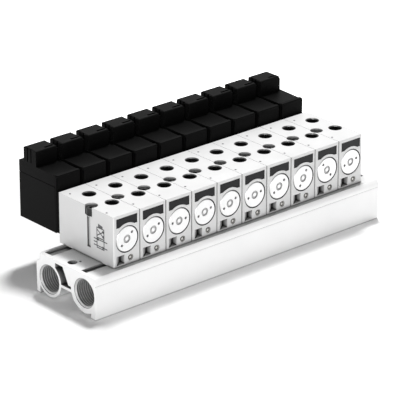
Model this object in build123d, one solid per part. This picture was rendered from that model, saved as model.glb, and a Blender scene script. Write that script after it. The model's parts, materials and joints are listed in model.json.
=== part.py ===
from build123d import *
import os

# Pneumatic valve island: ten 5/2 solenoid valves on one extruded rail with two galleries.
# Millimetres. X runs along the row, Y from the front to the coils, Z up.
# The origin is under the middle of the island, on the surface it stands on.

# Row
valve_count = 10
pitch = 22.5
valve_gap = 0.2
left_margin = 20.25
right_margin = 11.5

# Valve body
valve_depth = 56.7
valve_height = 36.2
edge_chamfer = 0.5

# Working ports on top, at the outer size of a G1/8 thread
port_radius = 4.864
port_depth = 9.0
port_rear_x = 13.6
port_rear_y = 41.7
port_front_x = 15.9
port_front_y = 20.7

# Round plug that closes the spool bore in the front face
plug_x = 11.5
plug_z = 18.0
plug_radius = 9.3
plug_gap = 0.2
plug_thickness = 5.0

# Label pocket over the plug, with the plate let into it
label_left = 2.45
label_right = 20.2
label_top = 34.1
label_corner_z = 27.6
label_arc_radius = 11.4
label_pocket_depth = 0.9
label_thickness = 0.6
label_clearance = 0.1

# Ramped recess at the foot of the front face
ramp_left = 2.3
ramp_right = 9.0
ramp_bottom = 1.2
ramp_top = 7.5
ramp_depth = 5.0

# Manual override button beside the recess, sunk a little into its bore
button_x = 14.2
button_z = 4.2
button_radius = 2.2
button_clearance = 0.05
button_length = 9.0
button_set = 0.4
button_travel = 1.2

# Seat of the cap screw that holds a body on the rail, and the slot in the body's side under it
screw_x = 2.5
screw_y = 25.6
screw_recess_radius = 4.4
screw_recess_depth = 6.5
side_slot_width = 3.4
side_slot_depth = 1.0
side_slot_bottom = 7.2
side_slot_wall = 1.0

# Gasket let into the foot of a body
gasket_left = 6.0
gasket_margin = 2.6
gasket_thickness = 1.0
gasket_fit = 0.1

# Galleries, with both ends opened to the outer size of a G1/2 thread
gallery_radius = 9.0
gallery_port_radius = 10.48
gallery_port_depth = 15.0
front_gallery_y = 6.0
front_gallery_z = 16.0
front_barrel_radius = 14.0
rear_gallery_y = 42.7
rear_barrel_radius = 12.4

# Grooves milled in the seat of the valves, with the passages to the galleries
groove_end_wall = 2.8
groove_depth = 2.0
groove_floor = 1.02
front_groove_y = 9.5
front_groove_width = 5.4
rear_groove_y = 46.7
rear_groove_width = 8.0
supply_x = 7.5
exhaust_x = 15.5
supply_passage = 4.0
exhaust_passage = 5.0

# Rail section, Y from the valves' front face and Z from the floor
rail_height = front_gallery_z + gallery_port_radius + groove_floor + groove_depth
rail_front = 5.8
rail_rear = 56.2
nose_top = 2.0
nose_drop = 5.0
nose_bulge = 0.9
nose_step = 0.35
plate_thickness = 2.2
plate_rear = 52.45
plate_rear_edge = 5.0
rear_slope = 2.0
rear_wall_y = 36.3
rear_wall_foot = 20.0
rear_foot_width = 3.6
rear_foot_gap = 0.8
rear_gallery_z = rear_barrel_radius + rear_foot_gap
front_foot_width = 4.8
web_top = 13.8
web_thickness = 2.0
channel_top_y = 29.6
channel_foot_y = 22.6
channel_foot_rise = 2.0

# Plugs that close the galleries at the right end
gallery_plug_clearance = 0.05
gallery_plug_length = 9.0
gallery_plug_set = 0.6
gallery_plug_flats = 10.0
gallery_plug_socket = 5.0

# Fixing holes of the island, M6, and the pin hole beside the left one
fixing_radius = 3.3
fixing_y = 25.85
fixing_left = 6.4
fixing_right = 5.75
pin_hole_x = 11.4
pin_hole_y = 23.8
pin_hole_radius = 0.9
pin_hole_depth = 3.0

# Pilot plate between body and coil
pilot_thickness = 2.9
pilot_width = 20.0
pilot_low = 5.5
pilot_height = 29.5

# Solenoid coil
coil_width = 20.9
coil_depth = 40.8
coil_height = 41.4
coil_low = 4.9
coil_corner = 2.0
coil_crown_round = 1.5

# Connector head on the coil, flush with its left side, and the ledge beside it
head_width = 17.8
head_depth = 13.3
head_height = 11.05
head_start = 22.1
head_round = 1.0
latch_width = 7.4
latch_side = 1.2
latch_front = 1.6
latch_depth = 1.8
latch_drop = 2.6
ledge_height = 8.0
ledge_depth = 11.0

# Places worked out from the sizes above
valve_width = pitch - valve_gap
rail_length = left_margin + valve_count * pitch + right_margin
rail_left = -rail_length / 2
rail_right = rail_length / 2
overall_depth = rail_front + valve_depth + pilot_thickness + coil_depth
valve_front = rail_front - overall_depth / 2
coil_front = valve_front + valve_depth + pilot_thickness


def valve_left(index):
    return rail_left + left_margin + valve_gap / 2 + index * pitch


def block(x0, x1, y0, y1, z0, z1):
    centre = Pos((x0 + x1) / 2, (y0 + y1) / 2, (z0 + z1) / 2)
    return centre * Box(x1 - x0, y1 - y0, z1 - z0)


def bar_x(radius, x0, x1, y, z):
    return Pos((x0 + x1) / 2, y, z) * Rot(0, 90, 0) * Cylinder(radius, x1 - x0)


def bar_y(radius, y0, y1, x, z):
    return Pos(x, (y0 + y1) / 2, z) * Rot(90, 0, 0) * Cylinder(radius, y1 - y0)


def bar_z(radius, z0, z1, x, y):
    return Pos(x, y, (z0 + z1) / 2) * Cylinder(radius, z1 - z0)


def at_valve(shape, index):
    return Pos(valve_left(index), valve_front, rail_height) * shape


def at_coil(shape, index):
    return Pos(valve_left(index) + valve_width / 2, coil_front, rail_height) * shape


# Rail


def rail_head():
    # The seat's front with its rounded nose, and the slant down to the channel.
    front = -rail_front
    nose_back = front + nose_top
    nose_foot = rail_height - nose_drop
    nose_mid = ((front + nose_back - nose_bulge) / 2, (nose_foot + rail_height + nose_bulge) / 2)
    outline = Polyline(
        (front, nose_foot),
        (front + nose_step, nose_foot),
        (front + nose_step, front_gallery_z),
        (channel_foot_y, web_top + channel_foot_rise),
        (channel_top_y, rail_height),
        (nose_back, rail_height),
    )
    nose = ThreePointArc((nose_back, rail_height), nose_mid, (front, nose_foot))
    return make_face(outline.edges() + nose.edges())


def strip(y0, y1, z0, z1):
    return Pos((y0 + y1) / 2, (z0 + z1) / 2) * Rectangle(y1 - y0, z1 - z0)


def rail_section():
    # Drawn with Y to the right and Z up, Y measured from the valves' front face.
    front_centre = Pos(front_gallery_y, front_gallery_z)
    rear_centre = Pos(rear_gallery_y, rear_gallery_z)
    barrel = front_centre * Circle(front_barrel_radius)
    flat_front = nose_step - rail_front
    barrel &= strip(flat_front, plate_rear, 0, rail_height)
    shoulder_z = rail_height - plate_rear_edge
    rear_block = Polygon(
        (rear_wall_y, rail_height),
        (rear_wall_y, rear_wall_foot),
        (rear_gallery_y, rear_gallery_z),
        (rail_rear, rear_gallery_z),
        (rail_rear, shoulder_z - rear_slope),
        (plate_rear, shoulder_z),
        (plate_rear, rail_height),
        align=None,
    )
    section = rail_head() + barrel + rear_block
    section += rear_centre * Circle(rear_barrel_radius)
    section += strip(0, plate_rear, rail_height - plate_thickness, rail_height)
    section += strip(front_gallery_y, rear_gallery_y, web_top - web_thickness, web_top)
    section += strip(flat_front, flat_front + front_foot_width, 0, front_gallery_z)
    section += strip(rail_rear - rear_foot_width, rail_rear, 0, rear_gallery_z)
    section -= front_centre * Circle(gallery_radius)
    section -= rear_centre * Circle(gallery_radius)
    return section


def gallery_centres():
    front = (valve_front + front_gallery_y, front_gallery_z)
    rear = (valve_front + rear_gallery_y, rear_gallery_z)
    return [front, rear]


def gallery_ends(y, z):
    port = bar_x(gallery_port_radius, rail_left, rail_left + gallery_port_depth, y, z)
    plug_seat = rail_right - gallery_plug_set - gallery_plug_length
    return port + bar_x(gallery_port_radius, plug_seat, rail_right, y, z)


def make_rail():
    rail = Pos(rail_left, valve_front, 0) * extrude(Plane.YZ * rail_section(), rail_length)
    groove_left = rail_left + groove_end_wall
    groove_right = rail_right - groove_end_wall
    groove_low = rail_height - groove_depth
    for y, z in gallery_centres():
        rail -= gallery_ends(y, z)
    for y, width in ((front_groove_y, front_groove_width), (rear_groove_y, rear_groove_width)):
        low = valve_front + y - width / 2
        rail -= block(groove_left, groove_right, low, low + width, groove_low, rail_height)
    for index in range(valve_count):
        rail -= passage(valve_left(index) + supply_x, front_groove_y, supply_passage, front_gallery_z)
        rail -= passage(valve_left(index) + exhaust_x, rear_groove_y, exhaust_passage, rear_gallery_z)
    for x in (rail_left + fixing_left, rail_right - fixing_right):
        rail -= bar_z(fixing_radius, 0, rail_height, x, valve_front + fixing_y)
    pin_x = rail_left + pin_hole_x
    rail -= bar_z(pin_hole_radius, rail_height - pin_hole_depth, rail_height, pin_x, valve_front + pin_hole_y)
    return rail


def passage(x, y, width, low):
    half = width / 2
    middle = valve_front + y
    return block(x - half, x + half, middle - half, middle + half, low, rail_height - groove_depth)


def make_gallery_plugs():
    plugs = []
    outer = rail_right - gallery_plug_set
    inner = outer - gallery_plug_length
    socket = extrude(RegularPolygon(gallery_plug_flats / 2, 6, major_radius=False), gallery_plug_socket)
    for y, z in gallery_centres():
        plug = bar_x(gallery_port_radius - gallery_plug_clearance, inner, outer, y, z)
        plug -= Pos(outer - gallery_plug_socket, y, z) * Rot(0, 90, 0) * socket
        plugs.append(plug)
    return Compound(plugs)


# Valve body, in its own frame: left face at x 0, front face at y 0, foot at z 0


def label_outline(inset):
    # Straight sides and top, and a foot that follows the plug.
    left = label_left + inset
    right = label_right - inset
    top = label_top - inset
    low = label_corner_z + inset
    outline = Polygon((left, low), (right, low), (right, top), (left, top), align=None)
    return outline - Pos(plug_x, plug_z) * Circle(label_arc_radius + inset)


def front_plate(outline, y0, y1):
    # An outline drawn in X and Z, filling y0 to y1.
    standing = Plane((0, y1, 0), x_dir=(1, 0, 0), z_dir=(0, -1, 0)) * outline
    return extrude(standing, y1 - y0)


def ramp_pocket():
    profile = Polygon((ramp_left, 0), (ramp_right, 0), (ramp_right, ramp_depth), align=None)
    return Pos(0, 0, ramp_bottom) * extrude(profile, ramp_top - ramp_bottom)


def button_bore():
    length = button_set + button_length + button_travel
    return bar_y(button_radius + button_clearance, 0, length, button_x, button_z)


def screw_seat():
    floor = valve_height - screw_recess_depth
    seat = bar_z(screw_recess_radius, floor, valve_height, screw_x, screw_y)
    seat += bar_z(screw_recess_radius, floor, valve_height, screw_x + pitch, screw_y)
    slot_front = screw_y - side_slot_width / 2
    slot_rear = screw_y + side_slot_width / 2
    slot_top = floor - side_slot_wall
    return seat + block(0, side_slot_depth, slot_front, slot_rear, side_slot_bottom, slot_top)


def gasket_outline(fit):
    # Spans both grooves and leaves room for the screw on its left.
    front = front_groove_y - front_groove_width / 2 - gasket_margin + fit
    rear = rear_groove_y + rear_groove_width / 2 + gasket_margin - fit
    left = gasket_left + fit
    right = valve_width - gasket_margin - fit
    return Pos((left + right) / 2, (front + rear) / 2) * Rectangle(right - left, rear - front)


def make_gasket():
    outline = gasket_outline(gasket_fit)
    outline -= Pos(supply_x, front_groove_y) * Rectangle(supply_passage, supply_passage)
    outline -= Pos(exhaust_x, rear_groove_y) * Rectangle(exhaust_passage, exhaust_passage)
    return extrude(outline, gasket_thickness)


def make_valve_body():
    body = block(0, valve_width, 0, valve_depth, 0, valve_height)
    body = chamfer(body.edges().filter_by(Axis.Z).group_by(Axis.Y)[0], edge_chamfer)
    body -= bar_y(plug_radius + plug_gap, 0, plug_thickness, plug_x, plug_z)
    body -= front_plate(label_outline(0), 0, label_pocket_depth)
    body -= ramp_pocket()
    body -= button_bore()
    port_floor = valve_height - port_depth
    body -= bar_z(port_radius, port_floor, valve_height, port_rear_x, port_rear_y)
    body -= bar_z(port_radius, port_floor, valve_height, port_front_x, port_front_y)
    body -= screw_seat()
    body -= extrude(gasket_outline(0), gasket_thickness)
    return body


def make_end_plug():
    return bar_y(plug_radius, 0, plug_thickness, plug_x, plug_z)


def make_label_plate():
    rear = label_pocket_depth
    return front_plate(label_outline(label_clearance), rear - label_thickness, rear)


def make_button():
    return bar_y(button_radius, button_set, button_set + button_length, button_x, button_z)


# Pilot plate and coil, in their own frame: x 0 in the middle, y 0 at the front of the coil


def make_pilot_plate():
    half = pilot_width / 2
    return block(-half, half, -pilot_thickness, 0, pilot_low, pilot_low + pilot_height)


def make_coil():
    half = coil_width / 2
    top = coil_low + coil_height
    coil = block(-half, half, 0, coil_depth, coil_low, top)
    uprights = coil.edges().filter_by(Axis.Z).group_by(Axis.Y)[0]
    coil = chamfer(uprights, coil_corner)
    crown = coil.faces().sort_by(Axis.Z)[-1].edges().group_by(Axis.Y)[0]
    coil = chamfer(crown, coil_crown_round)
    return coil + make_head(top) + make_ledge(top)


def make_head(foot):
    left = -coil_width / 2
    right = left + head_width
    rear = head_start + head_depth
    top = foot + head_height
    head = block(left, right, head_start, rear, foot, top)
    head = chamfer(head.faces().sort_by(Axis.Z)[-1].edges(), head_round)
    latch_right = right - latch_side
    latch_low = head_start + latch_front
    return head - block(
        latch_right - latch_width, latch_right, latch_low, latch_low + latch_depth, top - latch_drop, top
    )


def make_ledge(foot):
    left = head_width - coil_width / 2
    rear = head_start + head_depth
    return block(left, coil_width / 2, rear - ledge_depth, rear, foot, foot + ledge_height)


def save(shape, node):
    shape.label = node
    export_step(shape, os.path.join("parts", node + ".step"))


os.makedirs("parts", exist_ok=True)
save(make_rail(), "manifold_rail")
save(make_gallery_plugs(), "gallery_plugs")
stations = range(valve_count)
gasket = make_gasket()
valve_body = make_valve_body()
end_plug = make_end_plug()
label_plate = make_label_plate()
pilot_plate = make_pilot_plate()
button = make_button()
coil = make_coil()
save(Compound([at_valve(gasket, index) for index in stations]), "valve_gaskets")
save(Compound([at_valve(label_plate, index) for index in stations]), "label_plates")
save(Compound([at_valve(end_plug, index) for index in stations]), "end_plugs")
save(Compound([at_coil(pilot_plate, index) for index in stations]), "pilot_plates")
for index in stations:
    number = f"{index + 1:02d}"
    save(at_valve(valve_body, index), "valve_body_" + number)
    save(at_valve(button, index), "override_button_" + number)
    save(at_coil(coil, index), "coil_" + number)
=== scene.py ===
import json
import math

import bpy
from bpy.props import FloatProperty, FloatVectorProperty, PointerProperty
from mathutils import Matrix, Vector


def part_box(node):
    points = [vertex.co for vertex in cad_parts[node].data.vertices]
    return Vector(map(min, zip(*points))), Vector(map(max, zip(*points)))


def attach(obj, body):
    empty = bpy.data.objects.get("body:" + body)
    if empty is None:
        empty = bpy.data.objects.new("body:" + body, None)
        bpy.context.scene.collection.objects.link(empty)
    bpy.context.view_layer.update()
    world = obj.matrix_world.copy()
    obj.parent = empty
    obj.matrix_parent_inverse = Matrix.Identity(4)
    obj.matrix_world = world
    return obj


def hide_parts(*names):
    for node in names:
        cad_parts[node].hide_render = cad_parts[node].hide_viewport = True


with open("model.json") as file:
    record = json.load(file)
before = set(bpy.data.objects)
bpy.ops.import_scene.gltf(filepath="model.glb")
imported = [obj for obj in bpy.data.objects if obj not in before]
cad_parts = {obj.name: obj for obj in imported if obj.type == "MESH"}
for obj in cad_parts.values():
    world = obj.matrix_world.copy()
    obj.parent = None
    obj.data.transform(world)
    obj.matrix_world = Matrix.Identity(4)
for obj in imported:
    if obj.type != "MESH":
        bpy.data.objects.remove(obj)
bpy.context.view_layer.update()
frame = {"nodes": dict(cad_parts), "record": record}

bl_info = {
    "name": "Pneumatic valve island",
    "version": (1, 0, 0),
    "blender": (4, 5, 0),
    "location": "3D View > Sidebar > Valve island",
    "description": "Finishes, fasteners, threads and printed marks of a ten-station valve island",
    "category": "Object",
}

MM = 0.001
STATIONS = 10
HEXAGON = 6
NEAR = 0.1 * MM
HOME_BODY = "island"


# Sizes and colours


def length(name, description, default):
    return FloatProperty(name=name, description=description, default=default, unit="LENGTH", precision=5)


def colour(name, description, default):
    return FloatVectorProperty(
        name=name, description=description, default=default, subtype="COLOR", size=3, min=0.0, max=1.0
    )


class ISLAND_PG_sizes(bpy.types.PropertyGroup):
    screw_x: length("Screw across", "Screw axis from a valve's left face", 0.0025)
    screw_y: length("Screw back", "Screw axis from a valve's front face", 0.0256)
    screw_seat: length("Screw seat", "Depth of the screw's seat below the valve's top", 0.0065)
    screw_head: length("Screw head", "Radius of the screw's head", 0.0035)
    washer_height: length("Washer height", "Thickness of the screw's spring washer", 0.0012)
    screw_height: length("Screw head height", "Height of the screw's head", 0.004)
    port_radius: length("Port radius", "Outer radius of a working port's thread", 0.004864)
    port_depth: length("Port depth", "Depth of a working port", 0.009)
    port_pitch: length("Port thread pitch", "Pitch of the working port's thread", 0.000907)
    port_rear_x: length("Rear port across", "Rear port's axis from a valve's left face", 0.0136)
    port_rear_y: length("Rear port back", "Rear port's axis from a valve's front face", 0.0417)
    port_front_x: length("Front port across", "Front port's axis from a valve's left face", 0.0159)
    port_front_y: length("Front port back", "Front port's axis from a valve's front face", 0.0207)
    gallery_radius: length("Gallery port radius", "Outer radius of a gallery port's thread", 0.01048)
    gallery_depth: length("Gallery port depth", "Depth of a gallery port", 0.015)
    gallery_pitch: length("Gallery thread pitch", "Pitch of the gallery port's thread", 0.001814)
    plug_x: length("Plug across", "Plug axis from a valve's left face", 0.0115)
    plug_z: length("Plug height", "Plug axis from a valve's foot", 0.018)
    plug_radius: length("Plug radius", "Outer radius of the round front plug", 0.0093)
    plug_depth: length("Plug depth", "Thickness of the round front plug", 0.005)
    plug_eye: length("Plug eye", "Radius of the recess in the plug's middle", 0.0029)
    spanner_circle: length("Spanner circle", "Radius on which the plug's two holes lie", 0.00575)
    spanner_hole: length("Spanner hole", "Radius of the plug's two holes", 0.00095)
    ball_radius: length("Sealing ball", "Radius of the balls that close drilled ducts", 0.001)
    print_height: length("Print height", "Thickness of printed marks", 0.00005)


class ISLAND_PG_colours(bpy.types.PropertyGroup):
    rail: colour("Rail", "Natural anodised extrusion", (0.90, 0.90, 0.90))
    valve: colour("Valve body", "Blasted light alloy", (0.66, 0.66, 0.66))
    # The working ports' thread colour is near black as painted shade inside the bores.
    port: colour("Port threads", "Cut threads of the working ports, painted dark for the shade in the bores", (0.07, 0.07, 0.07))
    gallery: colour("Gallery threads", "Cut threads of the gallery ports", (0.50, 0.50, 0.50))
    plug: colour("Front plug", "Turned light alloy", (0.86, 0.86, 0.86))
    coil: colour("Coil", "Moulded black plastic", (0.004, 0.004, 0.004))
    # The label plates' near-black is partly their dark plastic and partly painted shade of the pockets they
    # sit in.
    label: colour("Label plate", "Dark grey plastic", (0.008, 0.008, 0.009))
    steel: colour("Nuts and gallery plugs", "Zinc plated steel", (0.40, 0.40, 0.41))
    # The screws' near-black is partly their blackened finish and partly painted shade of the recesses they
    # sit in.
    screw: colour("Screws", "Blackened steel", (0.03, 0.03, 0.03))
    button: colour("Override button", "Nickel plated brass", (0.50, 0.49, 0.47))
    # The balls' near-black is partly their steel and partly painted shade of the holes they sit in.
    ball: colour("Sealing balls", "Plain hardened steel and painted hole shade", (0.05, 0.05, 0.055))
    ink: colour("Printed marks", "Dark grey ink", (0.05, 0.05, 0.055))
    floor: colour("Floor", "Pale studio floor", (0.90, 0.90, 0.90))


# Selecting and shaping


def deselect_all():
    if bpy.context.object and bpy.context.object.mode != "OBJECT":
        bpy.ops.object.mode_set(mode="OBJECT")
    bpy.ops.object.select_all(action="DESELECT")


def make_active(piece):
    deselect_all()
    piece.select_set(True)
    bpy.context.view_layer.objects.active = piece
    return piece


def settle(piece):
    make_active(piece)
    bpy.ops.object.transform_apply(location=True, rotation=True, scale=True)
    return piece


def add_block(name, low, high):
    deselect_all()
    centre = [(a + b) / 2 for a, b in zip(low, high)]
    bpy.ops.mesh.primitive_cube_add(size=1, location=centre)
    piece = bpy.context.object
    piece.name = name
    piece.scale = [b - a for a, b in zip(low, high)]
    return settle(piece)


def add_rod(name, radius, start, end, sides=48):
    """A closed cylinder from start to end, which lie along one axis."""
    deselect_all()
    start, end = Vector(start), Vector(end)
    run = end - start
    turn = run.to_track_quat("Z", "Y").to_euler()
    bpy.ops.mesh.primitive_cylinder_add(
        vertices=sides, radius=radius, depth=run.length, location=(start + end) / 2, rotation=turn
    )
    piece = bpy.context.object
    piece.name = name
    return settle(piece)


def select_faces(piece, test):
    """In edit mode, selects the faces whose centre and normal pass the test."""
    bpy.ops.object.mode_set(mode="OBJECT")
    for vertex in piece.data.vertices:
        vertex.select = False
    for edge in piece.data.edges:
        edge.select = False
    for face in piece.data.polygons:
        face.select = test(face.center, face.normal)
    bpy.ops.object.mode_set(mode="EDIT")
    bpy.ops.mesh.select_mode(type="FACE")


def select_edges(piece, test):
    """In edit mode, selects the edges whose two ends pass the test."""
    bpy.ops.object.mode_set(mode="OBJECT")
    points = piece.data.vertices
    for face in piece.data.polygons:
        face.select = False
    for vertex in points:
        vertex.select = False
    for edge in piece.data.edges:
        edge.select = test(points[edge.vertices[0]].co, points[edge.vertices[1]].co)
    bpy.ops.object.mode_set(mode="EDIT")
    bpy.ops.mesh.select_mode(type="EDGE")


def round_edges(piece, test, radius, segments):
    make_active(piece)
    bpy.ops.object.mode_set(mode="EDIT")
    select_edges(piece, test)
    bpy.ops.mesh.bevel(offset=radius, segments=segments, affect="EDGES")
    bpy.ops.object.mode_set(mode="OBJECT")


def combine(piece, tool, operation):
    make_active(piece)
    modifier = piece.modifiers.new("cut", "BOOLEAN")
    modifier.operation = operation
    modifier.solver = "EXACT"
    modifier.object = tool
    bpy.ops.object.modifier_apply(modifier=modifier.name)
    bpy.data.objects.remove(tool, do_unlink=True)
    return piece


def soften(piece, width, segments=2, angle=35):
    make_active(piece)
    modifier = piece.modifiers.new("soft edges", "BEVEL")
    modifier.width = width
    modifier.segments = segments
    modifier.limit_method = "ANGLE"
    modifier.angle_limit = math.radians(angle)
    modifier.harden_normals = False
    bpy.ops.object.modifier_apply(modifier=modifier.name)
    bpy.ops.object.shade_smooth_by_angle(angle=math.radians(angle))
    return even_normals(piece)


def even_normals(piece):
    """Keeps flat faces evenly shaded beside their rounded edges."""
    make_active(piece)
    modifier = piece.modifiers.new("even normals", "WEIGHTED_NORMAL")
    modifier.keep_sharp = True
    modifier.weight = 100
    bpy.ops.object.modifier_apply(modifier=modifier.name)
    return piece


def copy_piece(piece, name, shift, turn=(0, 0, 0)):
    make_active(piece)
    bpy.ops.object.duplicate(linked=False)
    copy = bpy.context.object
    copy.name = name
    copy.location = shift
    copy.rotation_euler = turn
    return settle(copy)


def draw_profile(name, points):
    """A closed outline in the XZ plane, drawn point by point by extruding one vertex."""
    deselect_all()
    bpy.ops.mesh.primitive_plane_add(size=MM)
    piece = bpy.context.object
    piece.name = name
    bpy.ops.object.mode_set(mode="EDIT")
    bpy.ops.mesh.select_mode(type="VERT")
    bpy.ops.mesh.select_all(action="SELECT")
    bpy.ops.mesh.merge(type="CENTER")
    here = Vector((0, 0, 0))
    for x, z in points:
        there = Vector((x, 0, z))
        if here.length == 0:
            bpy.ops.transform.translate(value=there)
        else:
            bpy.ops.mesh.extrude_region_move(TRANSFORM_OT_translate={"value": there - here})
        here = there
    bpy.ops.mesh.select_all(action="SELECT")
    bpy.ops.mesh.edge_face_add()
    bpy.ops.mesh.delete(type="ONLY_FACE")
    return piece


def turn_profile(name, points, steps):
    """Spins a closed outline about Z into a closed ring."""
    piece = draw_profile(name, points)
    bpy.ops.mesh.select_all(action="SELECT")
    bpy.ops.mesh.spin(steps=steps, angle=math.tau, center=(0, 0, 0), axis=(0, 0, 1))
    bpy.ops.mesh.select_all(action="SELECT")
    bpy.ops.mesh.remove_doubles(threshold=0.00001)
    bpy.ops.mesh.normals_make_consistent(inside=False)
    bpy.ops.object.mode_set(mode="OBJECT")
    return piece


def finish(piece, material, body=HOME_BODY):
    if not piece.data.polygons:
        raise RuntimeError("The piece %s came out without faces" % piece.name)
    piece.data.materials.clear()
    piece.data.materials.append(material)
    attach(piece, body)


def station_name(base, index):
    return "%s_%02d" % (base, index + 1)


def valve_corner(index):
    """The left, front, foot corner of a valve, and its top."""
    low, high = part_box(station_name("valve_body", index))
    return Vector(low), high[2]


# Materials


# Rays that each shading point spends on the painted shade in hollows, and on soft edges
PAINTED_SHADE_SAMPLES = 12
EDGE_SAMPLES = 4


def start_material(name, base, metallic, roughness):
    material = bpy.data.materials.new(name)
    material.use_nodes = True
    shader = material.node_tree.nodes["Principled BSDF"]
    shader.inputs["Base Color"].default_value = (*base, 1.0)
    shader.inputs["Metallic"].default_value = metallic
    shader.inputs["Roughness"].default_value = roughness
    return material, shader


def add_math(nodes, operation, value=None):
    node = nodes.new("ShaderNodeMath")
    node.operation = operation
    if value is not None:
        node.inputs[1].default_value = value
    return node


def add_pattern(material, scale, detail=4.0, stretch=(1.0, 1.0, 1.0)):
    """Noise on Object coordinates, as many cells to the metre as scale says."""
    nodes, links = material.node_tree.nodes, material.node_tree.links
    place = nodes.new("ShaderNodeTexCoord")
    mapping = nodes.new("ShaderNodeMapping")
    mapping.inputs["Scale"].default_value = stretch
    noise = nodes.new("ShaderNodeTexNoise")
    noise.inputs["Scale"].default_value = scale
    noise.inputs["Detail"].default_value = detail
    links.new(place.outputs["Object"], mapping.inputs["Vector"])
    links.new(mapping.outputs["Vector"], noise.inputs["Vector"])
    return noise.outputs["Fac"]


def vary_colour(material, shader, pattern, base, change):
    nodes, links = material.node_tree.nodes, material.node_tree.links
    ramp = nodes.new("ShaderNodeValToRGB")
    ramp.color_ramp.elements[0].position = 0.3
    ramp.color_ramp.elements[1].position = 0.7
    ramp.color_ramp.elements[0].color = (*[value * (1 - change) for value in base], 1.0)
    ramp.color_ramp.elements[1].color = (*[min(1.0, value * (1 + change)) for value in base], 1.0)
    links.new(pattern, ramp.inputs["Fac"])
    links.new(ramp.outputs["Color"], shader.inputs["Base Color"])


def vary_roughness(material, shader, pattern, low, high):
    nodes, links = material.node_tree.nodes, material.node_tree.links
    spread = nodes.new("ShaderNodeMapRange")
    spread.inputs["To Min"].default_value = low
    spread.inputs["To Max"].default_value = high
    links.new(pattern, spread.inputs["Value"])
    links.new(spread.outputs["Result"], shader.inputs["Roughness"])


def paint_shade_in_hollows(material, shader, reach, power, local=True, level_only=False):
    """Dims the colour with painted shade where surfaces closer than reach close it in: the piece's own, or
    all of them.

    With level_only, the painted shade falls on faces that look up, and not on upright ones.
    """
    nodes, links = material.node_tree.nodes, material.node_tree.links
    openness = nodes.new("ShaderNodeAmbientOcclusion")
    openness.samples = PAINTED_SHADE_SAMPLES
    openness.only_local = local
    openness.inputs["Distance"].default_value = reach
    curve = add_math(nodes, "POWER", power)
    links.new(openness.outputs["AO"], curve.inputs[0])
    if level_only:
        facing = nodes.new("ShaderNodeNewGeometry")
        split = nodes.new("ShaderNodeSeparateXYZ")
        links.new(facing.outputs["Normal"], split.inputs[0])
        upward = add_math(nodes, "MAXIMUM", 0.0)
        links.new(split.outputs["Z"], upward.inputs[0])
        strength = add_math(nodes, "MULTIPLY", power)
        links.new(upward.outputs[0], strength.inputs[0])
        links.new(strength.outputs[0], curve.inputs[1])
    dim = nodes.new("ShaderNodeVectorMath")
    dim.operation = "SCALE"
    links.new(shader.inputs["Base Color"].links[0].from_socket, dim.inputs[0])
    links.new(curve.outputs[0], dim.inputs["Scale"])
    links.new(dim.outputs[0], shader.inputs["Base Color"])


def roughen(material, shader, pattern, height, edge=0.0):
    """Bump from a pattern, over edges rounded by the radius edge."""
    nodes, links = material.node_tree.nodes, material.node_tree.links
    bump = nodes.new("ShaderNodeBump")
    bump.inputs["Strength"].default_value = 1.0
    bump.inputs["Distance"].default_value = height
    links.new(pattern, bump.inputs["Height"])
    if edge:
        soft = nodes.new("ShaderNodeBevel")
        soft.samples = EDGE_SAMPLES
        soft.inputs["Radius"].default_value = edge
        links.new(soft.outputs["Normal"], bump.inputs["Normal"])
    links.new(bump.outputs["Normal"], shader.inputs["Normal"])


def anodised_extrusion(base):
    """Satin aluminium with faint drawing lines along the rail."""
    material, shader = start_material("anodised extrusion", base, metallic=0.25, roughness=0.42)
    lines = add_pattern(material, scale=900.0, detail=3.0, stretch=(0.02, 1.0, 1.0))
    cloud = add_pattern(material, scale=25.0)
    vary_colour(material, shader, cloud, base, change=0.02)
    # Painted shade: the rail's grooves and bores, a thin dark line where other parts stand on it, and the
    # seat beside the valves are dimmed in colour.
    paint_shade_in_hollows(material, shader, reach=0.03, power=1.6)
    paint_shade_in_hollows(material, shader, reach=0.0012, power=1.5, local=False)
    paint_shade_in_hollows(material, shader, reach=0.018, power=1.3, local=False, level_only=True)
    vary_roughness(material, shader, lines, low=0.36, high=0.48)
    roughen(material, shader, lines, height=0.00001, edge=0.0004)
    return material


def blasted_alloy(base):
    material, shader = start_material("blasted alloy", base, metallic=0.25, roughness=0.5)
    grain = add_pattern(material, scale=3500.0, detail=2.0)
    cloud = add_pattern(material, scale=60.0)
    vary_colour(material, shader, cloud, base, change=0.025)
    # Painted shade: the ports, pockets, screw seats, gaps between valves and their feet are dimmed in
    # colour.
    paint_shade_in_hollows(material, shader, reach=0.004, power=0.8)
    paint_shade_in_hollows(material, shader, reach=0.0012, power=2.0, local=False)
    paint_shade_in_hollows(material, shader, reach=0.003, power=0.5, local=False)
    vary_roughness(material, shader, cloud, low=0.45, high=0.56)
    roughen(material, shader, grain, height=0.000012, edge=0.0003)
    return material


def threaded_alloy(name, base, reach):
    """Cut threads, with painted shade in their roots as far as the distance reach."""
    material, shader = start_material(name, base, metallic=0.6, roughness=0.35)
    grain = add_pattern(material, scale=2500.0, detail=2.0)
    cloud = add_pattern(material, scale=300.0)
    vary_colour(material, shader, cloud, base, change=0.1)
    # Painted shade darkens the thread roots and the bore.
    paint_shade_in_hollows(material, shader, reach, power=1.5)
    vary_roughness(material, shader, cloud, low=0.28, high=0.42)
    roughen(material, shader, grain, height=0.000004)
    return material


def turned_alloy(base):
    material, shader = start_material("turned alloy", base, metallic=0.6, roughness=0.38)
    grain = add_pattern(material, scale=2500.0, detail=2.0)
    cloud = add_pattern(material, scale=90.0)
    vary_colour(material, shader, cloud, base, change=0.02)
    # Painted shade: a dark ring in the seam round each plug, and in its holes and eye.
    paint_shade_in_hollows(material, shader, reach=0.0015, power=2.0, local=False)
    vary_roughness(material, shader, cloud, low=0.33, high=0.43)
    roughen(material, shader, grain, height=0.000006)
    return material


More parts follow.
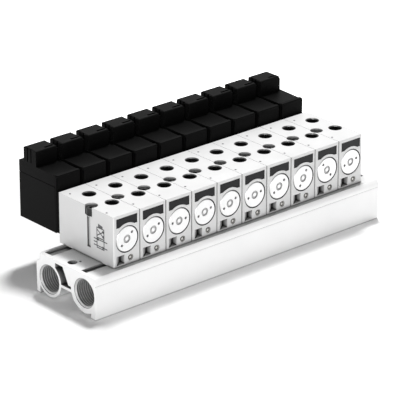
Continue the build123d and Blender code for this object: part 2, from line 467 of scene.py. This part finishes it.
def moulded_black(base):
    """Spark-eroded black plastic: fine grain, and a duller bloom in patches."""
    material, shader = start_material("moulded black plastic", base, metallic=0.0, roughness=0.48)
    shader.inputs["Specular IOR Level"].default_value = 0.03
    grain = add_pattern(material, scale=2200.0, detail=3.0)
    bloom = add_pattern(material, scale=45.0)
    vary_colour(material, shader, bloom, base, change=0.12)
    # Painted shade: the coils' own hollows are dimmed, most of all the heads' fronts and the case tops at
    # the heads' foot.
    paint_shade_in_hollows(material, shader, reach=0.02, power=2.5)
    vary_roughness(material, shader, bloom, low=0.42, high=0.54)
    roughen(material, shader, grain, height=0.00003)
    return material


def label_plastic(base):
    # The dark base is partly the plate's own plastic and partly painted shade of its pocket.
    material, shader = start_material("label plastic and painted pocket shade", base, metallic=0.0, roughness=0.35)
    shader.inputs["Specular IOR Level"].default_value = 0.2
    cloud = add_pattern(material, scale=120.0)
    vary_colour(material, shader, cloud, base, change=0.12)
    vary_roughness(material, shader, cloud, low=0.3, high=0.42)
    roughen(material, shader, cloud, height=0.00001, edge=0.0002)
    return material


def plated_steel(base, name="zinc plated steel"):
    material, shader = start_material(name, base, metallic=0.95, roughness=0.32)
    cloud = add_pattern(material, scale=400.0)
    vary_colour(material, shader, cloud, base, change=0.08)
    # Painted shade dims the colour in each steel piece's own hollows, such as the screw sockets.
    paint_shade_in_hollows(material, shader, reach=0.008, power=1.5)
    vary_roughness(material, shader, cloud, low=0.26, high=0.4)
    roughen(material, shader, cloud, height=0.00001, edge=0.0002)
    return material


def ink(base):
    material, shader = start_material("printed ink", base, metallic=0.0, roughness=0.55)
    cloud = add_pattern(material, scale=900.0)
    vary_colour(material, shader, cloud, base, change=0.25)
    vary_roughness(material, shader, cloud, low=0.5, high=0.65)
    return material


def gasket_rubber():
    base = (0.02, 0.02, 0.02)
    material, shader = start_material("gasket rubber", base, metallic=0.0, roughness=0.7)
    cloud = add_pattern(material, scale=300.0)
    vary_colour(material, shader, cloud, base, change=0.2)
    vary_roughness(material, shader, cloud, low=0.62, high=0.78)
    return material


def finishes():
    """Makes every finish once, and gives them by name."""
    if "anodised extrusion" not in bpy.data.materials:
        colours = bpy.context.scene.island_colours
        anodised_extrusion(colours.rail)
        blasted_alloy(colours.valve)
        threaded_alloy("port thread", colours.port, reach=0.01)
        threaded_alloy("gallery thread", colours.gallery, reach=0.004)
        turned_alloy(colours.plug)
        moulded_black(colours.coil)
        label_plastic(colours.label)
        plated_steel(colours.steel)
        plated_steel(colours.screw, "blackened steel and painted recess shade")
        plated_steel(colours.button, "nickel plated brass")
        plated_steel(colours.ball, "hardened steel and painted hole shade")
        ink(colours.ink)
        gasket_rubber()
    return bpy.data.materials


# Operators


class ISLAND_OT_dress_frame(bpy.types.Operator):
    """Gives each solid of the frame its finish"""

    bl_idname = "island.dress_frame"
    bl_label = "Finish the frame"

    def execute(self, context):
        materials = finishes()
        names = {
            "manifold_rail": "anodised extrusion",
            "gallery_plugs": "zinc plated steel",
            "valve_gaskets": "gasket rubber",
            "label_plates": "label plastic and painted pocket shade",
            "end_plugs": "turned alloy",
            "pilot_plates": "moulded black plastic",
        }
        for index in range(STATIONS):
            names[station_name("valve_body", index)] = "blasted alloy"
            names[station_name("override_button", index)] = "nickel plated brass"
            names[station_name("coil", index)] = "moulded black plastic"
        for node, solid in frame["nodes"].items():
            solid.data.materials.clear()
            solid.data.materials.append(materials[names[node]])
        return {"FINISHED"}


class ISLAND_OT_end_plugs(bpy.types.Operator):
    """Builds the ten round front plugs, each turned as its thread left it"""

    bl_idname = "island.end_plugs"
    bl_label = "Front plugs"

    turns = (42, 32, 4, 18, 26, 12, 38, 62, 128, 14)
    sides = 96
    rim = 0.8 * MM
    land = 0.6 * MM
    dish = 0.15 * MM
    eye_depth = 1.0 * MM
    eye_ring = 1.5 * MM
    eye_rise = 0.8 * MM
    hole_depth = 2.0 * MM
    hole_sides = 24
    soft_edge = 0.12 * MM

    def step(self, depth):
        bpy.ops.mesh.extrude_region_move(TRANSFORM_OT_translate={"value": (0, depth, 0)})

    def make_plug(self, sizes):
        plug = add_rod("end_plug", sizes.plug_radius, (0, sizes.plug_depth, 0), (0, 0, 0), self.sides)
        bpy.ops.object.mode_set(mode="EDIT")
        select_faces(plug, lambda centre, normal: normal.y < -0.9)
        bpy.ops.transform.translate(value=(0, self.rim, 0))
        bpy.ops.mesh.inset(thickness=self.rim)
        bpy.ops.transform.translate(value=(0, -self.rim, 0))
        bpy.ops.mesh.inset(thickness=self.land)
        bpy.ops.transform.translate(value=(0, self.dish, 0))
        bpy.ops.mesh.inset(thickness=sizes.plug_radius - self.rim - self.land - sizes.plug_eye)
        self.step(self.eye_depth)
        bpy.ops.mesh.inset(thickness=self.eye_ring)
        self.step(-self.eye_rise)
        bpy.ops.object.mode_set(mode="OBJECT")
        for x in (-sizes.spanner_circle, sizes.spanner_circle):
            hole = add_rod("hole", sizes.spanner_hole, (x, -MM, 0), (x, self.hole_depth, 0), self.hole_sides)
            combine(plug, hole, "DIFFERENCE")
        return soften(plug, self.soft_edge)

    def execute(self, context):
        sizes = context.scene.island_sizes
        plug = self.make_plug(sizes)
        first = None
        for index, degrees in enumerate(self.turns):
            corner, top = valve_corner(index)
            place = corner + Vector((sizes.plug_x, 0, sizes.plug_z))
            name = station_name("front_plug", index)
            copy = copy_piece(plug, name, place, (0, -math.radians(degrees), 0))
            finish(copy, finishes()["turned alloy"])
            first = first or copy
        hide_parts("end_plugs")
        bpy.data.objects.remove(plug, do_unlink=True)
        return {"FINISHED"}


class ISLAND_OT_buttons(bpy.types.Operator):
    """Builds the ten override buttons, each with a groove round its middle"""

    bl_idname = "island.buttons"
    bl_label = "Override buttons"

    end_gap = 0.05 * MM
    groove_outer = 1.75 * MM
    groove_inner = 0.95 * MM
    groove_depth = 0.7 * MM
    soft_edge = 0.15 * MM

    def execute(self, context):
        low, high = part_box(station_name("override_button", 0))
        radius = (high[0] - low[0]) / 2
        x = (low[0] + high[0]) / 2
        z = (low[2] + high[2]) / 2
        rear = high[1] - self.end_gap
        button = add_rod("button", radius, (x, rear, z), (x, low[1], z))
        bpy.ops.object.mode_set(mode="EDIT")
        select_faces(button, lambda centre, normal: normal.y < -0.9)
        bpy.ops.mesh.inset(thickness=radius - self.groove_outer)
        bpy.ops.mesh.extrude_region_move(TRANSFORM_OT_translate={"value": (0, self.groove_depth, 0)})
        bpy.ops.mesh.inset(thickness=self.groove_outer - self.groove_inner)
        bpy.ops.mesh.extrude_region_move(TRANSFORM_OT_translate={"value": (0, -self.groove_depth, 0)})
        bpy.ops.object.mode_set(mode="OBJECT")
        soften(button, self.soft_edge)
        for index in range(STATIONS):
            node = station_name("override_button", index)
            shift = Vector(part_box(node)[0]) - Vector(low)
            copy = copy_piece(button, station_name("button_cap", index), shift)
            finish(copy, finishes()["nickel plated brass"], station_name("button", index))
            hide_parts(node)
        bpy.data.objects.remove(button, do_unlink=True)
        return {"FINISHED"}


class ISLAND_OT_screws(bpy.types.Operator):
    """Builds the ten cap screws that hold the valves on the rail, each on its spring washer"""

    bl_idname = "island.screws"
    bl_label = "Mounting screws"

    turn_step = 11
    socket_radius = 1.7 * MM
    socket_depth = 2.0 * MM
    screw_edge = 0.25 * MM
    washer_bore = 2.1 * MM
    washer_slit = 0.6 * MM
    washer_edge = 0.12 * MM

    def execute(self, context):
        sizes = context.scene.island_sizes
        washer = self.make_washer(sizes)
        low = sizes.washer_height
        high = low + sizes.screw_height
        screw = add_rod("screw", sizes.screw_head, (0, 0, low), (0, 0, high))
        floor, mouth = high - self.socket_depth, high + self.socket_depth
        socket = add_rod("socket", self.socket_radius, (0, 0, floor), (0, 0, mouth), HEXAGON)
        combine(screw, socket, "DIFFERENCE")
        soften(screw, self.screw_edge)
        for index in range(STATIONS):
            corner, top = valve_corner(index)
            place = Vector((corner.x + sizes.screw_x, corner.y + sizes.screw_y, top - sizes.screw_seat))
            turn = (0, 0, math.radians(self.turn_step * index))
            for piece, name in ((screw, "mounting_screw"), (washer, "spring_washer")):
                copy = copy_piece(piece, station_name(name, index), place, turn)
                finish(copy, finishes()["blackened steel and painted recess shade"])
        bpy.data.objects.remove(screw, do_unlink=True)
        bpy.data.objects.remove(washer, do_unlink=True)
        return {"FINISHED"}

    def make_washer(self, sizes):
        """A ring with the slit that makes it spring."""
        washer = add_rod("washer", sizes.screw_head, (0, 0, 0), (0, 0, sizes.washer_height))
        bore = add_rod("bore", self.washer_bore, (0, 0, -MM), (0, 0, 3 * MM), 32)
        combine(washer, bore, "DIFFERENCE")
        half = self.washer_slit / 2
        slit = add_block("slit", (-half, -5 * MM, -MM), (half, 0, 3 * MM))
        combine(washer, slit, "DIFFERENCE")
        return soften(washer, self.washer_edge)


# A thread's height as a share of its pitch, and its start below the bore's mouth as a share of its height
THREAD_HEIGHT = 0.64
THREAD_START = 0.4

# The outline over one pitch: how far down in pitches, and how far in from the wall in heights
THREAD_OUTLINE = ((0.1, 0.1), (0.45, 1.0), (0.55, 1.0), (0.9, 0.1))


def thread_ring(radius, depth, pitch, steps):
    """A thin sleeve that fills a bore's wall with thread crests, its mouth at z 0."""
    outer = radius - 0.01 * MM
    height = THREAD_HEIGHT * pitch
    start = THREAD_START * height
    points = [(outer, -start)]
    turns = int((depth - start) / pitch)
    for turn in range(turns):
        for down, inward in THREAD_OUTLINE:
            points.append((radius - inward * height, -start - (turn + down) * pitch))
    points.append((outer, -start - turns * pitch))
    ring = turn_profile("thread", points, steps)
    make_active(ring)
    bpy.ops.object.shade_smooth_by_angle(angle=math.radians(25))
    return ring


class ISLAND_OT_threads(bpy.types.Operator):
    """Builds the threads of the working ports and of the two gallery ports"""

    bl_idname = "island.threads"
    bl_label = "Port threads"

    port_steps = 40
    gallery_steps = 72

    def execute(self, context):
        sizes = context.scene.island_sizes
        ring = thread_ring(sizes.port_radius, sizes.port_depth, sizes.port_pitch, self.port_steps)
        rows = (
            ("rear", sizes.port_rear_x, sizes.port_rear_y),
            ("front", sizes.port_front_x, sizes.port_front_y),
        )
        for index in range(STATIONS):
            corner, top = valve_corner(index)
            for row, x, y in rows:
                name = station_name("port_thread_" + row, index)
                copy = copy_piece(ring, name, (corner.x + x, corner.y + y, top))
                finish(copy, finishes()["port thread"])
        bpy.data.objects.remove(ring, do_unlink=True)
        radius, depth = sizes.gallery_radius, sizes.gallery_depth
        ring = thread_ring(radius, depth, sizes.gallery_pitch, self.gallery_steps)
        left_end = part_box("manifold_rail")[0][0]
        for mount in frame["record"]["mounts"]:
            if not mount["name"].startswith("gallery_port"):
                continue
            place = (left_end, mount["pos_m"][1], mount["pos_m"][2])
            copy = copy_piece(ring, mount["name"] + "_thread", place, (0, -math.pi / 2, 0))
            finish(copy, finishes()["gallery thread"])
        bpy.data.objects.remove(ring, do_unlink=True)
        return {"FINISHED"}


class ISLAND_OT_coils(bpy.types.Operator):
    """Builds the ten moulded coils with their connector heads"""

    bl_idname = "island.coils"
    bl_label = "Coils"

    corner_round = 2.0 * MM
    crown_round = 1.4 * MM
    case_edge = 0.3 * MM
    seam_drop = 8.3 * MM
    seam_width = 0.5 * MM
    seam_depth = 0.3 * MM
    head_width = 17.8 * MM
    head_start = 22.1 * MM
    head_depth = 13.3 * MM
    head_height = 11.05 * MM
    head_round = 0.9 * MM
    groove_places = (8.0 * MM, 4.2 * MM)
    groove_width = 1.0 * MM
    groove_depth = 0.6 * MM
    slot_width = 7.4 * MM
    slot_side = 1.2 * MM
    slot_front = 1.6 * MM
    slot_depth = 1.8 * MM
    slot_drop = 2.6 * MM
    ledge_height = 8.0 * MM
    ledge_depth = 11.0 * MM
    ledge_edge = 0.4 * MM
    nut_height = 20.7 * MM
    nut_radius = 6.0 * MM
    nut_foot = 3.3 * MM
    nut_top = 0.4 * MM
    nut_edge = 0.3 * MM
    stem_radius = 3.0 * MM
    stem_foot = 3.0 * MM
    stem_top = 0.1 * MM
    seat_radius = 6.6 * MM
    seat_depth = 3.2 * MM

    def make_case(self, low, high):
        """The potted winding's case, from its front to its back, without the head."""
        top = high[2] - self.head_height
        case = add_block("case", low, (high[0], high[1], top))
        front = low[1] + NEAR
        crown = top - NEAR
        near = front + self.corner_round + NEAR
        round_edges(case, lambda a, b: max(a.y, b.y) < front and abs(a.z - b.z) > MM, self.corner_round, 5)
        round_edges(case, lambda a, b: min(a.z, b.z) > crown and max(a.y, b.y) < near, self.crown_round, 4)
        soften(case, self.case_edge, 2, 60)
        seam = top - self.seam_drop
        half = self.seam_width / 2
        for x in (low[0], high[0]):
            start = (x - self.seam_depth, low[1] - MM, seam - half)
            end = (x + self.seam_depth, high[1] + MM, seam + half)
            combine(case, add_block("groove", start, end), "DIFFERENCE")
        return case

    def make_head(self, low, high):
        foot = high[2] - self.head_height
        above = high[2] + MM
        left, right = low[0], low[0] + self.head_width
        front, rear = low[1] + self.head_start, low[1] + self.head_start + self.head_depth
        head = add_block("head", (left, front, foot - MM), (right, rear, high[2]))
        roof = high[2] - NEAR
        round_edges(head, lambda a, b: min(a.z, b.z) > roof, self.head_round, 3)
        half = self.groove_width / 2
        for x in (left, right):
            for place in self.groove_places:
                y = rear - place
                start = (x - self.groove_depth, y - half, foot + MM)
                end = (x + self.groove_depth, y + half, above)
                combine(head, add_block("groove", start, end), "DIFFERENCE")
        side = right - self.slot_side
        start = (side - self.slot_width, front + self.slot_front, high[2] - self.slot_drop)
        end = (side, front + self.slot_front + self.slot_depth, above)
        return combine(head, add_block("slot", start, end), "DIFFERENCE")

    def make_ledge(self, low, high):
        foot = high[2] - self.head_height
        rear = low[1] + self.head_start + self.head_depth
        start = (low[0] + self.head_width - 0.5 * MM, rear - self.ledge_depth, foot - MM)
        end = (high[0], rear, foot + self.ledge_height)
        return soften(add_block("ledge", start, end), self.ledge_edge)

    def add_stud(self, name, radius, low, high, foot, top, sides):
        """A round or six-sided rod in the back, from foot to top, both measured in from the back."""
        x = (low[0] + high[0]) / 2
        z = low[2] + self.nut_height
        return add_rod(name, radius, (x, high[1] - foot, z), (x, high[1] - top, z), sides)

    def make_nut_seat(self, low, high):
        """The round recess in the back where the tube's nut sits."""
        return self.add_stud("seat", self.seat_radius, low, high, self.seat_depth, -MM, 48)

    def make_nut(self, low, high):
        nut = self.add_stud("nut", self.nut_radius, low, high, self.nut_foot, self.nut_top, HEXAGON)
        stem = self.add_stud("stem", self.stem_radius, low, high, self.stem_foot, self.stem_top, 32)
        combine(nut, stem, "UNION")
        return soften(nut, self.nut_edge)

    def execute(self, context):
        low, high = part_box(station_name("coil", 0))
        coil = self.make_case(low, high)
        combine(coil, self.make_head(low, high), "UNION")
        combine(coil, self.make_ledge(low, high), "UNION")
        combine(coil, self.make_nut_seat(low, high), "DIFFERENCE")
        make_active(coil)
        bpy.ops.object.shade_smooth_by_angle(angle=math.radians(35))
        even_normals(coil)
        nut = self.make_nut(low, high)
        for index in range(STATIONS):
            node = station_name("coil", index)
            shift = Vector(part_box(node)[0]) - Vector(low)
            copy = copy_piece(coil, station_name("coil_case", index), shift)
            finish(copy, finishes()["moulded black plastic"])
            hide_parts(node)
            copy = copy_piece(nut, station_name("coil_nut", index), shift)
            finish(copy, finishes()["zinc plated steel"])
        bpy.data.objects.remove(coil, do_unlink=True)
        bpy.data.objects.remove(nut, do_unlink=True)
        return {"FINISHED"}


class ISLAND_OT_sealing_balls(bpy.types.Operator):
    """Builds the small steel balls that close the drilled ducts in the valve tops"""

    bl_idname = "island.sealing_balls"
    bl_label = "Sealing balls"

    places = ((4.0 * MM, 49.85 * MM), (1.9 * MM, 9.1 * MM))
    sunk = 0.7

    def execute(self, context):
        radius = context.scene.island_sizes.ball_radius
        deselect_all()
        bpy.ops.mesh.primitive_uv_sphere_add(segments=20, ring_count=12, radius=radius)
        ball = settle(bpy.context.object)
        bpy.ops.object.shade_smooth()
        for index in range(STATIONS):
            corner, top = valve_corner(index)
            for side, (x, y) in zip(("rear", "front"), self.places):
                place = (corner.x + x, corner.y + y, top - self.sunk * radius)
                copy = copy_piece(ball, station_name("sealing_ball_" + side, index), place)
                finish(copy, finishes()["hardened steel and painted hole shade"])
        bpy.data.objects.remove(ball, do_unlink=True)
        return {"FINISHED"}


class ISLAND_OT_printed_symbol(bpy.types.Operator):
    """Prints the general symbol of a 5/2 valve, stood on end, on the first valve's side"""

    bl_idname = "island.printed_symbol"
    bl_label = "Printed symbol"

    line = 0.6 * MM
    box = 7.2 * MM
    stub = 3.0 * MM
    left = 9.9 * MM
    foot = 9.8 * MM
    line_inset = 1.3 * MM
    barb_length = 1.3 * MM
    barb_width = 0.6 * MM
    spring_inset = 1.6 * MM
    spring_step = 0.8 * MM
    spring_turns = 3

    def stroke(self, start, end):
        """A bar of ink from start to end, given as places along Y and Z on the side face."""
        run = Vector((0, end[0] - start[0], end[1] - start[1]))
        deselect_all()
        bpy.ops.mesh.primitive_cube_add(size=1)
        bar = bpy.context.object
        bar.scale = (self.height, run.length + self.line, self.line)
        bar.rotation_euler = (math.atan2(run.z, run.y), 0, 0)
        bar.location = (0, (start[0] + end[0]) / 2, (start[1] + end[1]) / 2)
        return settle(bar)

    def arrow(self, start, end):
        way = Vector((end[0] - start[0], end[1] - start[1])).normalized()
        side = Vector((-way.y, way.x))
        tip = Vector(end)
        back = tip - self.barb_length * way
        return [
            self.stroke(start, end),
            self.stroke(tip, back + self.barb_width * side),
            self.stroke(tip, back - self.barb_width * side),
        ]

    def square(self, y, z):
        corners = [(y, z), (y + self.box, z), (y + self.box, z + self.box), (y, z + self.box)]
        return [self.stroke(corners[side], corners[(side + 1) % 4]) for side in range(4)]

    def execute(self, context):
        self.height = context.scene.island_sizes.print_height
        corner, top = valve_corner(0)
        y, z = self.left, self.foot
        inset = self.line_inset
        far = y + self.box
        middle = z + self.box
        crown = middle + self.box
        strokes = self.square(y, z) + self.square(y, middle)
        strokes += self.arrow((far, z + inset), (y, z + inset))
        strokes += self.arrow((y, middle - inset), (far, middle - inset))
        strokes += self.arrow((far, middle + inset), (y, crown - inset))
        strokes += self.arrow((far, crown - inset), (y, middle + inset))
        for height in (z + inset, middle - inset):
            strokes.append(self.stroke((y - self.stub, height), (y, height)))
        for height in (z + inset, z + self.box / 2, middle - inset):
            strokes.append(self.stroke((far, height), (far + self.stub, height)))
        for turn in range(self.spring_turns):
            low = crown + turn * self.spring_step
            start = (y + self.spring_inset, low)
            strokes.append(self.stroke(start, (far - self.spring_inset, low + self.spring_step)))
        deselect_all()
        for bar in strokes:
            bar.select_set(True)
        bpy.context.view_layer.objects.active = strokes[0]
        bpy.ops.object.join()
        symbol = bpy.context.object
        symbol.name = "printed_symbol"
        symbol.location = (corner.x - self.height / 2, corner.y, corner.z)
        settle(symbol)
        finish(symbol, finishes()["printed ink"])
        return {"FINISHED"}


def look_way(turn, rise):
    """The way from the island to a place at the turn and rise, which are in degrees."""
    turn, rise = math.radians(turn), math.radians(rise)
    return Vector((math.sin(turn) * math.cos(rise), -math.cos(turn) * math.cos(rise), math.sin(rise)))


def seen_or_mirrored(nodes, links):
    """1 for what the camera sees, directly or in a reflection, and 0 for what lights the object."""
    path = nodes.new("ShaderNodeLightPath")
    seen = add_math(nodes, "MAXIMUM")
    links.new(path.outputs["Is Camera Ray"], seen.inputs[0])
    links.new(path.outputs["Is Glossy Ray"], seen.inputs[1])
    return seen.outputs[0]


class ISLAND_OT_stage(bpy.types.Operator):
    """Sets the pale floor, the soft lights and the camera"""

    bl_idname = "island.stage"
    bl_label = "Stage"

    camera_turn = -41.117
    camera_rise = 23.009
    camera_distance = 1.8777
    camera_lens = 246.1
    camera_target = (0.00199, -0.0067, 0.0346)

    floor_size = 8.0
    shadow_end = 0.15
    white_start = 0.28
    floor_lift = 0.05
    sky_strength = 0.13

    # Name, turn and rise in degrees, distance, size and power of each lamp
    lamps = (
        ("key", 128, 71, 1.2, 0.2, 14.0),
        ("front_fill", -46, 4, 1.6, 0.9, 25.5),
    )

    def floor_material(self, base):
        """Takes the shadow near the island, and is plain white to the eye and in reflections further out."""
        material, shader = start_material("studio floor", base, metallic=0.0, roughness=0.9)
        nodes, links = material.node_tree.nodes, material.node_tree.links
        place = nodes.new("ShaderNodeTexCoord")
        reach = nodes.new("ShaderNodeVectorMath")
        reach.operation = "LENGTH"
        links.new(place.outputs["Object"], reach.inputs[0])
        spread = nodes.new("ShaderNodeMapRange")
        spread.inputs["From Min"].default_value = self.shadow_end
        spread.inputs["From Max"].default_value = self.white_start
        spread.inputs["To Min"].default_value = self.floor_lift
        spread.inputs["To Max"].default_value = 1.0
        links.new(reach.outputs["Value"], spread.inputs["Value"])
        lift = add_math(nodes, "MULTIPLY")
        links.new(seen_or_mirrored(nodes, links), lift.inputs[0])
        links.new(spread.outputs["Result"], lift.inputs[1])
        shader.inputs["Emission Color"].default_value = (1.0, 1.0, 1.0, 1.0)
        links.new(lift.outputs[0], shader.inputs["Emission Strength"])
        return material

    def make_floor(self, base):
        deselect_all()
        bpy.ops.mesh.primitive_plane_add(size=self.floor_size, location=(0, 0, 0))
        floor = bpy.context.object
        floor.name = "studio_floor"
        floor.data.materials.append(self.floor_material(base))

    def make_lamp(self, name, turn, rise, distance, size, power):
        """A square soft lamp that looks at the island's middle."""
        place = distance * look_way(turn, rise)
        deselect_all()
        bpy.ops.object.light_add(type="AREA", location=place)
        lamp = bpy.context.object
        lamp.name = name
        lamp.data.shape = "SQUARE"
        lamp.data.size = size
        lamp.data.energy = power
        lamp.rotation_euler = (-place).to_track_quat("-Z", "Y").to_euler()

    def make_world(self):
        world = bpy.context.scene.world or bpy.data.worlds.new("World")
        bpy.context.scene.world = world
        world.use_nodes = True
        nodes, links = world.node_tree.nodes, world.node_tree.links
        nodes.clear()
        spread = nodes.new("ShaderNodeMapRange")
        spread.inputs["To Min"].default_value = self.sky_strength
        spread.inputs["To Max"].default_value = 1.0
        links.new(seen_or_mirrored(nodes, links), spread.inputs["Value"])
        sky = nodes.new("ShaderNodeBackground")
        sky.inputs["Color"].default_value = (1.0, 1.0, 1.0, 1.0)
        links.new(spread.outputs["Result"], sky.inputs["Strength"])
        out = nodes.new("ShaderNodeOutputWorld")
        links.new(sky.outputs["Background"], out.inputs["Surface"])

    def make_camera(self):
        back = look_way(self.camera_turn, self.camera_rise)
        place = Vector(self.camera_target) + self.camera_distance * back
        deselect_all()
        bpy.ops.object.camera_add(location=place, rotation=(-back).to_track_quat("-Z", "Y").to_euler())
        camera = bpy.context.object
        camera.data.sensor_width = 36.0
        camera.data.lens = self.camera_lens
        camera.data.clip_end = 20.0
        camera.data.dof.use_dof = False
        bpy.context.scene.camera = camera

    def execute(self, context):
        self.make_floor(context.scene.island_colours.floor)
        self.make_world()
        for lamp in self.lamps:
            self.make_lamp(*lamp)
        self.make_camera()
        context.scene.view_settings.view_transform = "Standard"
        return {"FINISHED"}


class ISLAND_PT_panel(bpy.types.Panel):
    """Lists the steps that build the island's looks"""

    bl_idname = "ISLAND_PT_panel"
    bl_label = "Valve island"
    bl_space_type = "VIEW_3D"
    bl_region_type = "UI"
    bl_category = "Valve island"

    def draw(self, context):
        for step in STEPS:
            self.layout.operator(step.bl_idname)
        for group in (context.scene.island_sizes, context.scene.island_colours):
            column = self.layout.column()
            for name in group.__annotations__:
                column.prop(group, name)


STEPS = (
    ISLAND_OT_dress_frame,
    ISLAND_OT_end_plugs,
    ISLAND_OT_buttons,
    ISLAND_OT_screws,
    ISLAND_OT_threads,
    ISLAND_OT_coils,
    ISLAND_OT_sealing_balls,
    ISLAND_OT_printed_symbol,
    ISLAND_OT_stage,
)

CLASSES = (ISLAND_PG_sizes, ISLAND_PG_colours, *STEPS, ISLAND_PT_panel)


def register():
    for item in CLASSES:
        bpy.utils.register_class(item)
    bpy.types.Scene.island_sizes = PointerProperty(type=ISLAND_PG_sizes)
    bpy.types.Scene.island_colours = PointerProperty(type=ISLAND_PG_colours)


def unregister():
    del bpy.types.Scene.island_colours
    del bpy.types.Scene.island_sizes
    for item in reversed(CLASSES):
        bpy.utils.unregister_class(item)


def main():
    register()
    bpy.ops.island.dress_frame()
    bpy.ops.island.end_plugs()
    bpy.ops.island.buttons()
    bpy.ops.island.screws()
    bpy.ops.island.threads()
    bpy.ops.island.coils()
    bpy.ops.island.sealing_balls()
    bpy.ops.island.printed_symbol()
    bpy.ops.island.stage()


if __name__ == "__main__":
    main()
